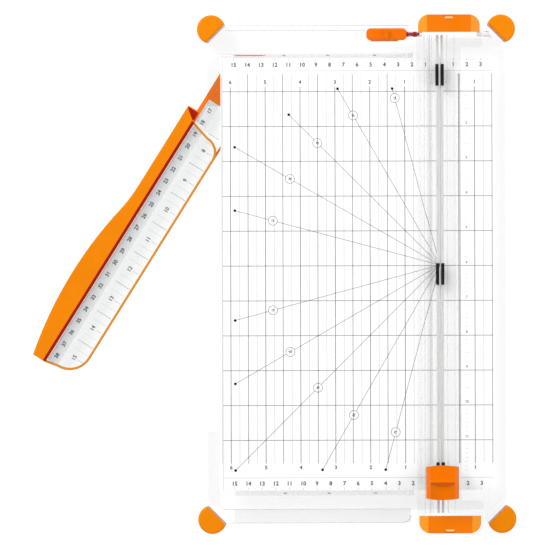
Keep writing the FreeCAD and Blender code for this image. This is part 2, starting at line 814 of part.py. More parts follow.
def rail_fittings():
    node("rear_end_cap", end_cap(1))
    node("front_end_cap", end_cap(-1))
    for name, side in (("left_guide_rod", "-"), ("right_guide_rod", "+")):
        centre = (f"blade_middle {side} rod_offset", "rail_floor + rod_radius")
        node(name, rod("Y", "rod_radius", "-bar_half", "bar_half", centre))
    for name, step in (("rear_rod_clips", 1), ("middle_rod_clips", 0), ("front_rod_clips", -1)):
        node(name, rod_clips(step))
    y = ("-steel_half + 6", "steel_half - 6")
    left = block(("rail_left + 2", "rail_left + 4"), y, ("strip_low", "rail_low"))
    right = block(("rail_right - 4", "rail_right - 2"), y, ("strip_low", "rail_low"))
    node("paper_grip_strips", group(left, right))
    screws = []
    for y_place in ("cap_screw_y", "-cap_screw_y"):
        for x_place in ("cap_screw_left", "cap_screw_right"):
            shank = rod("Z", "thick_screw", "rail_low - 0.5", "cap_screw_end - 0.5", (x_place, y_place))
            head = rod("Z", "cap_screw_head", "rail_low - 1.4", "rail_low", (x_place, y_place))
            screws.append(merge(shank, head))
    node("end_cap_screws", group(*screws))


def rod_clips(step):
    """Two straps that hold the guide rods down, one on each rod, clear of the blade's path."""
    y = (f"clip_pitch * {step} - clip_half", f"clip_pitch * {step} + clip_half")
    centre_z = "rail_floor + rod_radius"
    straps = []
    for side, inner in (("-", "groove_left"), ("+", "groove_right")):
        rod_x = f"blade_middle {side} rod_offset"
        outer = f"{rod_x} {side} clip_outer"
        leg_end = f"{rod_x} {side} clip_leg"
        over = (outer, inner) if side == "-" else (inner, outer)
        leg = (outer, leg_end) if side == "-" else (leg_end, outer)
        bore = rod("Y", "rod_radius + fit / 2", *wide(y), (rod_x, centre_z))
        top = carve(block(over, y, (centre_z, "clip_top")), bore)
        straps.append(merge(top, block(leg, y, ("rail_floor", "clip_top"))))
    return group(*straps)


def wide(stretch):
    """A stretch with a millimetre more at both ends, for a tool that cuts right through."""
    return (f"{stretch[0]} - 1", f"{stretch[1]} + 1")


def shell_outline():
    front = "park_y - shell_half"
    rear = "park_y + shell_half"
    # an arc's radius from its sagitta over the shell's width
    radius = "((shell_right - shell_left) ^ 2 / 4 + shell_bulge ^ 2) / (2 * shell_bulge)"
    return [
        ("shell_left", f"{front} + shell_bulge", radius, "left"),
        ("shell_right", f"{front} + shell_bulge"),
        ("shell_right", f"{rear} - shell_bulge", radius, "left"),
        ("shell_left", f"{rear} - shell_bulge"),
    ]


def finger_scoop(front, across):
    """A tool for the hollow in front of the lip: a round valley along the cut, closed by the lip's sloping face."""
    # the valley's radius from its depth over its width
    radius = "(scoop_half ^ 2 + scoop_deep ^ 2) / (2 * scoop_deep)"
    middle = ("(shell_left + shell_right) / 2", f"shell_top - scoop_deep + {radius}")
    lip = "park_y + scoop_wall"
    side_view = [
        (front, "shell_top - scoop_deep"),
        (f"{lip} - scoop_reach", "shell_top - scoop_deep"),
        (lip, "shell_top"),
        (lip, "shell_top + 1"),
        (front, "shell_top + 1"),
    ]
    return common(rod("Y", radius, front, lip, middle), prism("YZ", side_view, *across))


def carriage_shell():
    """The carriage that rides on the rail's walls, with a finger scoop in front of a raised lip."""
    plan = prism("XY", shell_outline(), "shell_low", "shell_top")
    front_view = [
        ("shell_left", "shell_low"),
        ("shell_right", "shell_low"),
        ("shell_right", "shell_shoulder"),
        ("shell_right - shell_slope", "shell_top"),
        ("shell_left + shell_slope", "shell_top"),
        ("shell_left", "shell_shoulder"),
    ]
    length = ("park_y - shell_half - 1", "park_y + shell_half + 1")
    solid = common(plan, prism("XZ", front_view, *length))
    across = ("shell_left - 1", "shell_right + 1")
    through = wide(length)
    tools = [
        finger_scoop(length[0], across),
        rod("X", "back_radius", *across, ("park_y + back_start", "back_level + back_radius")),
        block(across, ("park_y + back_start", "park_y + shell_half + 1"), ("back_level", "shell_top + 1")),
        block(("skirt_left", "skirt_right"), through, ("hook_top", "channel_top")),
        block(("skirt_left + hook_out", "skirt_right - hook_out"), through, ("shell_low - 1", "hook_top + 1")),
        block(
            ("housing_left", "housing_right"),
            ("park_y - housing_half", "park_y + housing_half"),
            ("channel_top - 1", "housing_top"),
        ),
        rod("X", "blade_radius + 0.8", "steel_right - 0.6", "slot_right - 0.4", ("park_y", "axle_level")),
    ]
    node("carriage_shell", carve(solid, *tools))


def carriage_fittings():
    half = ("park_y - shell_half + 3", "park_y + shell_half - 3")
    z = ("wall_top + 0.3", "channel_top")
    left = block(("left_wall - hook_out", "left_wall_end"), half, z)
    right = block(("right_wall", "right_wall_end + hook_out"), half, z)
    node("slide_shoes", group(left, right))
    axle = ("park_y", "axle_level")
    holder = block(
        ("holder_left", "holder_right"),
        ("park_y - holder_half", "park_y + holder_half"),
        ("holder_low", "housing_top"),
    )
    node("blade_holder", carve(holder, rod("X", "axle_radius + fit", "holder_left - 1", "holder_right + 1", axle)))
    shank = rod("X", "axle_radius", "holder_left - axle_head_thick", "axle_end", axle)
    head = rod("X", "axle_head", "holder_left - axle_head_thick", "holder_left", axle)
    node("blade_axle", merge(shank, head))
    bore = "axle_radius + fit"
    bush = [
        ("holder_right", bore),
        ("bush_end", bore),
        ("bush_end", "bush_radius"),
        ("collar_end", "bush_radius"),
        ("collar_end", "collar_radius"),
        ("holder_right", "collar_radius"),
    ]
    node("blade_bush", at_axle(turned(bush)))
    washer = rod("X", "collar_radius", "washer_left", "washer_right", axle)
    eye = rod("X", "bush_radius + fit", "washer_left - 1", "washer_right + 1", axle)
    node("blade_spring_washer", carve(washer, eye))
    nut = doc.addObject("Part::Prism", "nut")
    nut.Polygon = 6
    nut.Placement.Rotation = FreeCAD.Rotation(FreeCAD.Vector(0, 1, 0), 90)
    bind(nut, "Circumradius", "nut_radius")
    bind(nut, "Height", "nut_thick")
    bind_base(nut, "bush_end", *axle)
    node("blade_nut", carve(nut, rod("X", "axle_radius + fit", *wide(("bush_end", "bush_end + nut_thick")), axle)))


def at_axle(item):
    bind_base(item, "0", "park_y", "axle_level")
    return item


def rotary_blade():
    """A thin disc, flat on the side that slides past the fixed blade and bevelled on the other."""
    left = "blade_middle - blade_thick / 2"
    right = "blade_middle + blade_thick / 2"
    outline = [
        (left, "bush_radius + fit"),
        (right, "bush_radius + fit"),
        (right, "blade_radius - blade_bevel"),
        (f"{left} + 0.08", "blade_radius"),
        (left, "blade_radius"),
    ]
    node("rotary_blade", at_axle(turned(outline)))


def tray_outline(inset):
    """The raised ruler's tray, near end first; inset runs inside its rim. The fence line closes it."""
    near = f"(near_radius - {inset})"
    far = f"(far_radius - {inset})"
    edge = f"(rim_edge - {inset})"
    return [
        (f"arm_end - {inset}", "fence_line"),
        (f"far_u + {far}", f"{edge} - {far}", far, "left"),
        ("far_u", edge),
        ("near_u", edge, near, "left"),
        (f"near_u - {near}", f"{edge} - {near}"),
        (f"tray_start + {inset}", "fence_line"),
    ]


def grip_outline(inset, start):
    """The handle beside the ruler: straight near the pivot, then one long swell out to the hand."""
    return [
        (f"{start} + {inset} * 2", f"handle_face - {inset}"),
        (f"grip_corner + {inset}", f"grip_edge + {inset}"),
        ("grip_flat_end", f"grip_edge + {inset}", f"grip_in_radius + {inset}", "right"),
        ("grip_mid_u", f"grip_mid + {inset}", f"grip_out_radius - {inset}", "left"),
        (f"arm_end - {inset}", f"grip_end + {inset}"),
        (f"arm_end - {inset}", f"handle_face - {inset}"),
    ]


def arm_frame():
    """The arm's one moulding: hub plate, thin rims, the raised tray's rim, the fence strip and the handle."""
    low = ("arm_low", "arm_step")
    hub = [
        rod("Z", "hub_radius", *low, ("0", "0")),
        block(("0", "hub_end"), ("inner_edge", "rim_edge"), low),
    ]
    rims = [
        block(("hub_end - 1", "grip_start + 9"), ("inner_edge", "fence_line"), low),
        block(("hub_end - 1", "near_u"), ("rim_edge - rim", "rim_edge"), low),
        block(("near_u - 1", "far_u"), ("rim_edge - rim", "rim_edge"), ("arm_low", "arm_rim_top")),
    ]
    tray = carve(
        prism("XY", tray_outline("0"), "scale_low", "arm_rim_top"),
        prism("XY", tray_outline("rim"), "scale_low - 1", "arm_rim_top + 1"),
    )
    strip = block(("tray_start", "arm_end"), ("handle_face - 0.5", "fence_line"), ("arm_low", "arm_rim_top"))
    grip = carve(
        prism("XY", grip_outline("0", "grip_body"), "arm_low", "arm_top"),
        prism("XY", grip_outline("grip_skin", "grip_body"), "arm_low - 1", "arm_top - grip_skin"),
    )
    toe = block(("grip_start", "toe_end"), ("grip_edge", "fence_line"), low)
    bore = rod("Z", "liner_radius", "arm_low - 1", "arm_step + 1", ("0", "0"))
    frame = carve(merge(*hub, *rims, tray, strip, grip, toe), bore)
    node("arm_frame", on_pivot(frame))


def arm_fittings():
    height = ("arm_low", "arm_step")
    liner = rod("Z", "liner_radius", *height, ("0", "0"))
    hole = rod("Z", "boss_radius + fit", "arm_low - 1", "arm_step + 1", ("0", "0"))
    node("arm_pivot_bush", on_pivot(carve(liner, hole)))
    node("arm_ruler", on_pivot(prism("XY", tray_outline("(rim + fit)"), "scale_low", "scale_top")))
    window = [
        ("hub_end", "fence_line"),
        ("window_end", "fence_line"),
        ("window_end", "rim_edge - rim"),
        ("hub_end", "rim_edge - rim"),
    ]
    node("arm_window", on_pivot(prism("XY", window, "window_low", "window_top")))


def fixed_hinge_pin():
    hinge = ("hinge_y", "hinge_level")
    shank = rod("X", "hinge_radius", "plate_right - 3.6", "ear_right_end", hinge)
    head = rod("X", "3", "ear_right_end", "ear_right_end + 1.4", hinge)
    node("rail_hinge_pin", merge(shank, head))


def check_and_write():
    """Stops on any failed object or bad shape, then writes one STEP file for each sub-part."""
    doc.recompute()
    failed = [item.Name for item in doc.Objects if {"Invalid", "Error"} & set(item.State)]
    if failed:
        raise RuntimeError(f"these objects did not compute: {failed}")
    for item in nodes:
        if item.Shape.isNull() or not item.Shape.isValid():
            raise RuntimeError(f"{item.Label} has no valid shape")
    os.makedirs("parts", exist_ok=True)
    for item in nodes:
        item.Shape.exportStep(f"parts/{item.Label}.step")


base_frame()
platform()
feet()
arm_pivot()
fixed_hinge_pin()
hinge_lock()
cutting_rail()
rail_fittings()
carriage_shell()
carriage_fittings()
rotary_blade()
arm_frame()
arm_fittings()
check_and_write()
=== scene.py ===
"""Looks for the rotary paper trimmer: materials, printed scales, softened edges, light and camera.

Metres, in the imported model's own frame: +X across the cut, +Y to the rear along it, +Z up from the table.
Lengths are written in millimetres, times MM.
"""

import json
import math

import bpy
from mathutils import Matrix, Vector


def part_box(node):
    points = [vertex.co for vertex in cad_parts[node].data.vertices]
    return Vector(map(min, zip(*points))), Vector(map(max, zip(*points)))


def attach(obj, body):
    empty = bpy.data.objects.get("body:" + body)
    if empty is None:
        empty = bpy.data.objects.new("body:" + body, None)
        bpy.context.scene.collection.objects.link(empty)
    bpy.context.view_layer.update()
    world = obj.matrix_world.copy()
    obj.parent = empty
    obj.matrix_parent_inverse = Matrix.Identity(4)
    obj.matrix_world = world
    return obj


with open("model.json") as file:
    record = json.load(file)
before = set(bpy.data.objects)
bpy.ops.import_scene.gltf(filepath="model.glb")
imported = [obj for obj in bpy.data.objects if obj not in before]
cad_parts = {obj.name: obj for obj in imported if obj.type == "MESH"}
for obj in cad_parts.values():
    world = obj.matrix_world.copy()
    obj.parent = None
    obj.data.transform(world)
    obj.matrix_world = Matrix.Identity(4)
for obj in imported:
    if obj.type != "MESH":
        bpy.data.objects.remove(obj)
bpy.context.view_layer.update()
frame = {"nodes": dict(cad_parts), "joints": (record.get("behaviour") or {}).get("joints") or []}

MM = 0.001
CENTIMETRE = 10 * MM
INCH = 25.4 * MM
NODES = frame["nodes"]

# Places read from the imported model
BASE_LOW, BASE_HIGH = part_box("base_frame")
BED_LOW, BED_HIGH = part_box("cutting_platform")
OFFCUT_LOW, OFFCUT_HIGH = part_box("offcut_platform")
FIXED_BLADE_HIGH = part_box("fixed_blade")[1]
CUT_X = (FIXED_BLADE_HIGH.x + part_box("rotary_blade")[1].x) / 2
BED_TOP = BED_HIGH.z

# Each layer of print stands this much above the one below it
INK_LIFT = 0.02 * MM


def srgb(red, green, blue):
    """A screen colour of 0 to 255 a channel as the linear colour that shaders take."""

    def linear(channel):
        return channel / 255 / 12.92 if channel <= 10 else ((channel / 255 + 0.055) / 1.055) ** 2.4

    return [linear(channel) for channel in (red, green, blue)] + [1.0]


def tone(colour, factor):
    """A colour made lighter or darker."""
    return [min(channel * factor, 1.0) for channel in colour[:3]] + [1.0]


# Materials


class Shader:
    """A material's node tree, with short calls for what the materials here share."""

    def __init__(self, name):
        self.material = bpy.data.materials.new(name)
        self.material.use_nodes = True
        self.tree = self.material.node_tree
        self.surface = self.tree.nodes["Principled BSDF"]
        self.output = self.tree.nodes["Material Output"]
        self.where = self.add("ShaderNodeTexCoord").outputs["Object"]

    def add(self, kind, **inputs):
        made = self.tree.nodes.new(kind)
        for name, given in inputs.items():
            self.feed(made.inputs[name.replace("_", " ")], given)
        return made

    def feed(self, socket, given):
        if isinstance(given, bpy.types.NodeSocket):
            self.tree.links.new(given, socket)
        else:
            socket.default_value = given

    def set(self, **inputs):
        for name, given in inputs.items():
            self.feed(self.surface.inputs[name.replace("_", " ")], given)

    def noise(self, scale, detail=3.0, stretch=(1, 1, 1)):
        """Noise from 0 to 1. Scale counts its lumps in a metre."""
        mapping = self.add("ShaderNodeMapping", Vector=self.where, Scale=stretch)
        made = self.add("ShaderNodeTexNoise", Vector=mapping.outputs[0], Scale=scale, Detail=detail)
        return made.outputs["Fac"]

    def map_range(self, given, *limits):
        """A number carried from one range to another: the limits are the first range's, then the second's."""
        made = self.add("ShaderNodeMapRange", Value=given)
        for socket, limit in zip(made.inputs[1:5], limits):
            socket.default_value = limit
        return made.outputs[0]

    def ramp(self, noise, low, high):
        """A number that runs from low to high as noise goes through the middle of its range."""
        return self.map_range(noise, 0.3, 0.7, low, high)

    def compute(self, operation, *numbers):
        made = self.add("ShaderNodeMath")
        made.operation = operation
        for socket, number in zip(made.inputs, numbers):
            self.feed(socket, number)
        return made.outputs[0]

    def between(self, number, low, high):
        """1 where a number lies between two others, and 0 elsewhere."""
        return self.compute("COMPARE", number, (low + high) / 2, (high - low) / 2)

    def split(self, vector):
        return self.add("ShaderNodeSeparateXYZ", Vector=vector).outputs

    def normal(self):
        return self.split(self.add("ShaderNodeNewGeometry").outputs["Normal"])

    def blend(self, share, first, second):
        """A colour between two others."""
        made = self.tree.nodes.new("ShaderNodeMix")
        made.data_type = "RGBA"
        self.feed(made.inputs["Factor"], share)
        before, after = (socket for socket in made.inputs if socket.type == "RGBA")
        self.feed(before, first)
        self.feed(after, second)
        return next(socket for socket in made.outputs if socket.type == "RGBA")

    def bump(self, height, depth, strength=1.0):
        made = self.add("ShaderNodeBump", Height=height, Distance=depth, Strength=strength)
        self.set(Normal=made.outputs[0])


def sloping(shader):
    """1 on faces tilted away from level, and 0 on level ones: the share of the painted slope light and shade.
    """
    return shader.map_range(shader.normal()["Z"], 0.985, 0.9, 0.0, 1.0)


def leaning(shader):
    """1 on faces that lean steeply to the front, and 0 elsewhere: where the carriage's scoop gets its painted
    shade.
    """
    normal = shader.normal()
    to_front = shader.between(normal["Y"], -0.95, -0.5)
    return shader.compute("MULTIPLY", to_front, shader.between(normal["Z"], 0.3, 0.95))


def moulded(name, colour, rough, gloss=0.4, grain=900.0, depth=0.01 * MM, slope_shading=None, front_shade=None, low=()):
    """Moulded plastic: its colour drifts and a fine grain breaks up its gloss.

    Painted light: faces tilted from level may take a lighter or darker colour for how light falls on them,
    faces that lean to the front a painted shade, and the stretches of height in low a painted shade.
    """
    shader = Shader(name)
    drifting = shader.ramp(shader.noise(35.0), 0.0, 1.0)
    body = shader.blend(drifting, tone(colour, 0.96), tone(colour, 1.04))
    # Painted light and shade on faces tilted from level
    if slope_shading is not None:
        body = shader.blend(sloping(shader), body, slope_shading)
    # Painted shade on faces that lean to the front
    if front_shade is not None:
        body = shader.blend(leaning(shader), body, front_shade)
    # Painted shade over the stretches of height in low
    for start, end, tint in low:
        at_height = shader.between(shader.split(shader.where)["Z"], start, end)
        body = shader.blend(at_height, body, tint)
    shader.set(
        Base_Color=body,
        Roughness=shader.ramp(shader.noise(140.0), rough * 0.85, rough * 1.15),
        IOR=1.5,
        Specular_IOR_Level=gloss,
    )
    shader.bump(shader.noise(grain, 2.0), depth, 0.6)
    return shader.material


def clear(name, colour, edge, rough=0.02, shade_bands=()):
    """Clear styrene with painted shade: greyer where it is seen edge on, standing in for the dark lines its
    refracting edges show, and painted a flat grey over the given stretches of X and Y.
    """
    shader = Shader(name)
    facing = shader.add("ShaderNodeLayerWeight", Blend=0.5).outputs["Facing"]
    # Painted shade: faces seen edge on blend toward the edge grey
    body = shader.blend(shader.map_range(facing, 0.12, 0.75, 0.0, 1.0), colour, edge)
    place = shader.split(shader.where)
    # Painted grey shade over each given stretch of X and Y
    for x, y, tint in shade_bands:
        inside = shader.compute("MULTIPLY", shader.between(place["X"], *x), shader.between(place["Y"], *y))
        body = shader.blend(inside, body, tint)
    shader.set(
        Base_Color=body,
        Roughness=shader.ramp(shader.noise(90.0), rough * 0.6, rough * 1.6),
        IOR=1.5,
        Transmission_Weight=1.0,
    )
    shader.bump(shader.noise(60.0, 1.0), 0.03 * MM, 0.5)
    return shader.material


def frosted(name, colour, share):
    """A frosted surface that lets through all but a share of what is behind it."""
    shader = Shader(name)
    shader.set(
        Base_Color=shader.blend(shader.noise(300.0), tone(colour, 0.97), tone(colour, 1.03)),
        Roughness=shader.ramp(shader.noise(500.0), 0.3, 0.5),
    )
    through = shader.add("ShaderNodeBsdfTransparent", Color=[1.0, 1.0, 1.0, 1.0])
    mixed = shader.tree.nodes.new("ShaderNodeMixShader")
    for socket, given in zip(mixed.inputs, (share, through.outputs[0], shader.surface.outputs[0])):
        shader.feed(socket, given)
    shader.feed(shader.output.inputs["Surface"], mixed.outputs[0])
    return shader.material


def steel(name, colour, rough, stretch, metal=1.0):
    """Bright steel with fine marks drawn out along one way."""
    shader = Shader(name)
    lines = shader.noise(2500.0, 2.0, stretch)
    shader.set(
        Base_Color=shader.blend(shader.ramp(lines, 0.0, 1.0), tone(colour, 0.88), tone(colour, 1.06)),
        Metallic=metal,
        Roughness=shader.ramp(lines, rough * 0.8, rough * 1.25),
    )
    shader.bump(lines, 0.004 * MM, 0.5)
    return shader.material


def ink(name, colour):
    """Screen-printed ink, a little uneven in its cover."""
    shader = Shader(name)
    cover = shader.ramp(shader.noise(1500.0, 2.0), 0.0, 1.0)
    shader.set(
        Base_Color=shader.blend(cover, colour, tone(colour, 1.18)),
        Roughness=0.55,
        Specular_IOR_Level=0.05,
    )
    return shader.material


def printed_sheet(name, colour):
    """The bed's white sheet: matt, with a faint drift of tone and an eggshell grain."""
    shader = Shader(name)
    drift = shader.ramp(shader.noise(9.0, 2.0), 0.0, 1.0)
    shader.set(
        Base_Color=shader.blend(drift, tone(colour, 0.985), tone(colour, 1.01)),
        Roughness=shader.ramp(shader.noise(200.0), 0.5, 0.62),
        Specular_IOR_Level=0.08,
    )
    shader.bump(shader.noise(1800.0, 1.0), 0.006 * MM, 0.5)
    return shader.material


# Painted shade on the base, greyer over the inclines down to the bed, the lip at the front, and the flanges
# at the left
LEFT_OF_GAP = (-30 * MM, 101 * MM)
FLANGE = (-50 * MM, -40 * MM)
SHADE_BANDS = (
    (LEFT_OF_GAP, (157.5 * MM, 161.0 * MM), srgb(228, 228, 228)),
    (LEFT_OF_GAP, (-161.2 * MM, -157.5 * MM), srgb(234, 234, 234)),
    (LEFT_OF_GAP, (-181.0 * MM, -171.2 * MM), srgb(240, 240, 240)),
    (FLANGE, (-168 * MM, -113 * MM), srgb(244, 245, 244)),
    (FLANGE, (122 * MM, 158 * MM), srgb(244, 245, 244)),
)
# Painted shade on the arm's lower levels: a redder hub, then a duller, browner ruler's rim
ARM_LOW_SHADE = ((2.0 * MM, 6.5 * MM, srgb(240, 116, 24)), (6.6 * MM, 9.5 * MM, srgb(212, 138, 40)))
# How marks in steel are drawn out: along Y, round a disc that turns about X, and round an upright screw
ALONG_Y = (1, 0.02, 1)
GROUND_ROUND = (1, 0.05, 0.05)
TURNED = (0.2, 0.2, 1)
MATERIALS = {
    # Each clear finish's second colour is its painted edge-on shade
    "clear": clear("clear_styrene", srgb(252, 252, 252), srgb(166, 172, 175), shade_bands=SHADE_BANDS),
    "rail_clear": clear("clear_rail", srgb(252, 252, 252), srgb(200, 202, 203), rough=0.03),
    "scale_clear": clear("clear_scale", srgb(248, 249, 249), srgb(200, 202, 203), rough=0.05),
    "sheet": printed_sheet("bed_sheet", srgb(250, 250, 250)),
    # The slope colours below are painted light and shade on tilted faces: lighter on the caps' facets and the
    # handle's rounded edges, darker on the carriage's
    "orange": moulded("orange_gloss", srgb(238, 120, 0), rough=0.36, gloss=0.16, slope_shading=srgb(244, 150, 30)),
    "carriage": moulded(
        "orange_carriage",
        srgb(240, 114, 0),
        rough=0.4,
        gloss=0.04,
        slope_shading=srgb(228, 110, 0),
        # Painted shade on the scoop's front-leaning face
        front_shade=srgb(212, 96, 0),
    ),
    "handle": moulded(
        "orange_handle",
        srgb(234, 130, 0),
        rough=0.42,
        gloss=0.12,
        grain=700.0,
        depth=0.02 * MM,
        slope_shading=srgb(246, 160, 30),
        low=ARM_LOW_SHADE,
    ),
    "foot": moulded("orange_foot", srgb(234, 132, 0), rough=0.6, gloss=0.08, grain=500.0, depth=0.03 * MM),
    "lock": moulded("orange_lock", srgb(236, 110, 0), rough=0.35, gloss=0.16),
    # Painted shade, the red that orange plastic looks in shade
    "fence_shade_red": moulded("fence_shade_red", srgb(176, 22, 0), rough=0.5, gloss=0.15),
    # Painted shade: the lock bolt is orange plastic, given the dark red it shows in shade under clear plastic
    "crimson": moulded("bolt_shade_red", srgb(150, 8, 26), rough=0.3),
    "black": moulded("black_clip", srgb(14, 14, 14), rough=0.4),
    "acetal": moulded("acetal", srgb(226, 226, 220), rough=0.35),
    "liner": moulded("liner_grey", srgb(252, 252, 251), rough=0.5),
    "pin_pale": moulded("pin_pale", srgb(236, 236, 235), rough=0.4),
    # Painted highlight on the end caps
    "cap_glint": moulded("cap_glint_pale", srgb(252, 204, 140), rough=0.4),
    "ledger": steel("ledger_steel", srgb(224, 225, 226), 0.4, ALONG_Y, metal=0.3),
    "rod": steel("rod_steel", srgb(216, 216, 214), 0.55, ALONG_Y, metal=0.35),
    "blade": steel("blade_steel", srgb(214, 216, 218), 0.22, GROUND_ROUND),
    "screw": steel("screw_steel", srgb(206, 206, 204), 0.3, TURNED),
    "grip": frosted("grip_strip", srgb(236, 237, 237), share=0.12),
    # Painted shade: the grey of the lines drawn where clear edges show dark
    "bead": frosted("shade_line_frosted", srgb(196, 197, 198), share=0.32),
    # Painted shade on the top of the rail's wall
    "edge_grey": frosted("edge_grey", srgb(180, 181, 182), share=0.5),
    # Painted shadow beside each foot
    "strap_shadow": frosted("strap_shadow", srgb(176, 140, 150), share=0.7),
    "ink_dark": ink("ink_dark", srgb(92, 92, 96)),
    "ink_mid": ink("ink_mid", srgb(140, 140, 144)),
    "ink_light": ink("ink_light", srgb(190, 191, 194)),
    "ink_black": ink("ink_black", srgb(30, 30, 34)),
    "ribbon": ink("ribbon_white", srgb(240, 241, 241)),
    "scale_grey": ink("scale_grey", srgb(214, 217, 217)),
}

DRESS = {
    "clear": ["base_frame"],
    "rail_clear": ["cutting_rail"],
    "scale_clear": ["arm_ruler", "arm_window"],
    "sheet": ["cutting_platform", "offcut_platform"],
    "orange": ["rear_end_cap", "front_end_cap"],
    "carriage": ["carriage_shell"],
    "handle": ["arm_frame"],
    "foot": ["rear_left_foot", "rear_right_foot", "front_left_foot", "front_right_foot"],
    "lock": ["lock_slide", "lock_keeper"],
    "crimson": ["lock_bolt"],
    "black": ["rear_rod_clips", "middle_rod_clips", "front_rod_clips", "blade_holder"],
    "acetal": ["slide_shoes", "blade_bush", "arm_pivot_bush"],
    "grip": ["paper_grip_strips"],
    "rod": ["left_guide_rod", "right_guide_rod"],
    "ledger": ["fixed_blade"],
    "blade": ["rotary_blade"],
    "pin_pale": ["rail_hinge_pin"],
    "screw": [
        "fixed_blade_screws",
        "foot_screws",
        "arm_pivot_washer",
        "arm_pivot_screw",
        "end_cap_screws",
        "blade_axle",
        "blade_spring_washer",
        "blade_nut",
    ],
}
SHADOWLESS = ("clear", "rail_clear", "scale_clear", "grip", "rod")
ORANGES = ("orange", "carriage", "handle", "foot", "lock")

# The radius on each moulding's edges, in millimetres
ROUNDED = {
    "base_frame": 0.7,
    "rear_end_cap": 0.7,
    "front_end_cap": 0.7,
    "carriage_shell": 0.6,
    "arm_frame": 0.8,
    "lock_slide": 0.3,
    "lock_keeper": 0.2,
    "arm_ruler": 0.2,
    "rear_rod_clips": 0.2,
    "middle_rod_clips": 0.2,
    "front_rod_clips": 0.2,
    "slide_shoes": 0.2,
    "blade_holder": 0.2,
}


def dress_nodes():
    for finish, names in DRESS.items():
        for name in names:
            node = NODES[name]
            if not node.material_slots:
                node.data.materials.append(None)
            for slot in node.material_slots:
                slot.link = "OBJECT"
                slot.material = MATERIALS[finish]


def set_light_paths():
    """Light passes clear pieces, rods and grips without a shadow, and orange throws no colour on white."""
    for finish in SHADOWLESS:
        for name in DRESS[finish]:
            NODES[name].visible_shadow = False
            NODES[name].visible_diffuse = False
    for finish in ORANGES:
        for name in DRESS[finish]:
            NODES[name].visible_diffuse = False


def round_edges():
    """Round each moulding's edges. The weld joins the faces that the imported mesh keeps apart."""
    for name, radius in ROUNDED.items():
        node = NODES[name]
        weld = node.modifiers.new("weld", "WELD")
        weld.merge_threshold = 0.001 * MM
        bevel = node.modifiers.new("bevel", "BEVEL")
        bevel.width = radius * MM
        bevel.segments = 3
        bevel.limit_method = "ANGLE"
        bevel.angle_limit = math.radians(35)
        bevel.harden_normals = True


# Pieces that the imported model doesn't have


def mesh_of(name, points, faces):
    mesh = bpy.data.meshes.new(name)
    mesh.from_pydata(points, [], faces)
    return mesh


def add_piece(name, shape, finish, body):
    """Put a mesh or a curve in the scene with its finish, riding on a body."""
    shape.materials.append(MATERIALS[finish])
    piece = bpy.data.objects.new(name, shape)
    bpy.context.scene.collection.objects.link(piece)
    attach(piece, body)


# Its finish at first is the grey of the painted shade lines
def add_bead(name, points, radius, height, finish="bead", body="base"):
    """A thin round bead along a line of points at one height."""
    curve = bpy.data.curves.new(name, "CURVE")
    curve.dimensions = "3D"
    curve.bevel_depth = radius
    curve.bevel_resolution = 3
    curve.use_fill_caps = True
    spline = curve.splines.new("POLY")
    spline.points.add(len(points) - 1)
    for point, (x, y) in zip(spline.points, points):
        point.co = (x, y, height, 1)
    add_piece(name, curve, finish, body)


# Print: flat marks, each group of one colour in one mesh

NUMERAL_THICKEN = 0.03
NUMERAL_HEIGHT = 0.7


def glyphs(text):
    """The flat outline mesh of a number, centred on the origin, as points and faces.

    Its numerals are about NUMERAL_HEIGHT high.
    """
    curve = bpy.data.curves.new("number", "FONT")
    curve.body = text
    curve.align_x = "CENTER"
    curve.align_y = "CENTER"
    curve.resolution_u = 3
    curve.offset = NUMERAL_THICKEN
    holder = bpy.data.objects.new("number", curve)
    bpy.context.scene.collection.objects.link(holder)
    bpy.context.view_layer.update()
    mesh = bpy.data.meshes.new_from_object(holder.evaluated_get(bpy.context.evaluated_depsgraph_get()))
    points = [vertex.co.copy() for vertex in mesh.vertices]
    faces = [tuple(polygon.vertices) for polygon in mesh.polygons]
    bpy.data.objects.remove(holder)
    bpy.data.curves.remove(curve)
    bpy.data.meshes.remove(mesh)
    return points, faces


class Print:
    """Marks printed at one height, gathered into one mesh."""

    def __init__(self):
        self.points = []
        self.faces = []

    def patch(self, corners):
        first = len(self.points)
        self.points += [Vector((x, y, 0)) for x, y in corners]
        self.faces.append(tuple(range(first, first + len(corners))))

    def block(self, x, y):
        """A filled rectangle over a stretch of X and one of Y."""
        (x0, x1), (y0, y1) = sorted(x), sorted(y)
        self.patch([(x0, y0), (x1, y0), (x1, y1), (x0, y1)])

    def line(self, start, end, width):
        start, end = Vector(start), Vector(end)
        along = (end - start).normalized() * width / 2
        side = Vector((-along.y, along.x))
        self.patch([start - side, end - side, end + side, start + side])

    def dot(self, centre, radius, steps=20):
        turns = [step * math.tau / steps for step in range(steps)]
        self.patch([(centre[0] + radius * math.cos(a), centre[1] + radius * math.sin(a)) for a in turns])

    def ring(self, centre, radius, width, steps=36):
        for step in range(steps):
            a, b = (math.tau * turn / steps for turn in (step, step + 1))
            inner, outer = radius - width / 2, radius + width / 2
            corners = ((inner, a), (outer, a), (outer, b), (inner, b))
            self.patch([(centre[0] + r * math.cos(t), centre[1] + r * math.sin(t)) for r, t in corners])

    def number(self, value, centre, height, turn=0.0):
        points, faces = glyphs(str(value))
        turned = Matrix.Translation((*centre, 0)) @ Matrix.Rotation(turn, 4, "Z")
        place = turned @ Matrix.Scale(height / NUMERAL_HEIGHT, 4)
        first = len(self.points)
        self.points += [place @ point for point in points]
        self.faces += [tuple(first + index for index in face) for face in faces]

    def make(self, name, finish, body, height, turned=None, slot="sheet_white"):
        mesh = mesh_of(name, self.points, self.faces)
        mesh.transform(Matrix.Translation((0, 0, height)))
        if turned is not None:
            mesh.transform(turned)
        add_piece(name, mesh, finish, body)


def new_sheets(*finishes):
    """An empty print in each finish, from the lowest layer up."""
    return {finish: Print() for finish in finishes}


# The bed's print: the ends of its grid, the rows of numbers, and the centimetre ribbons at both ends

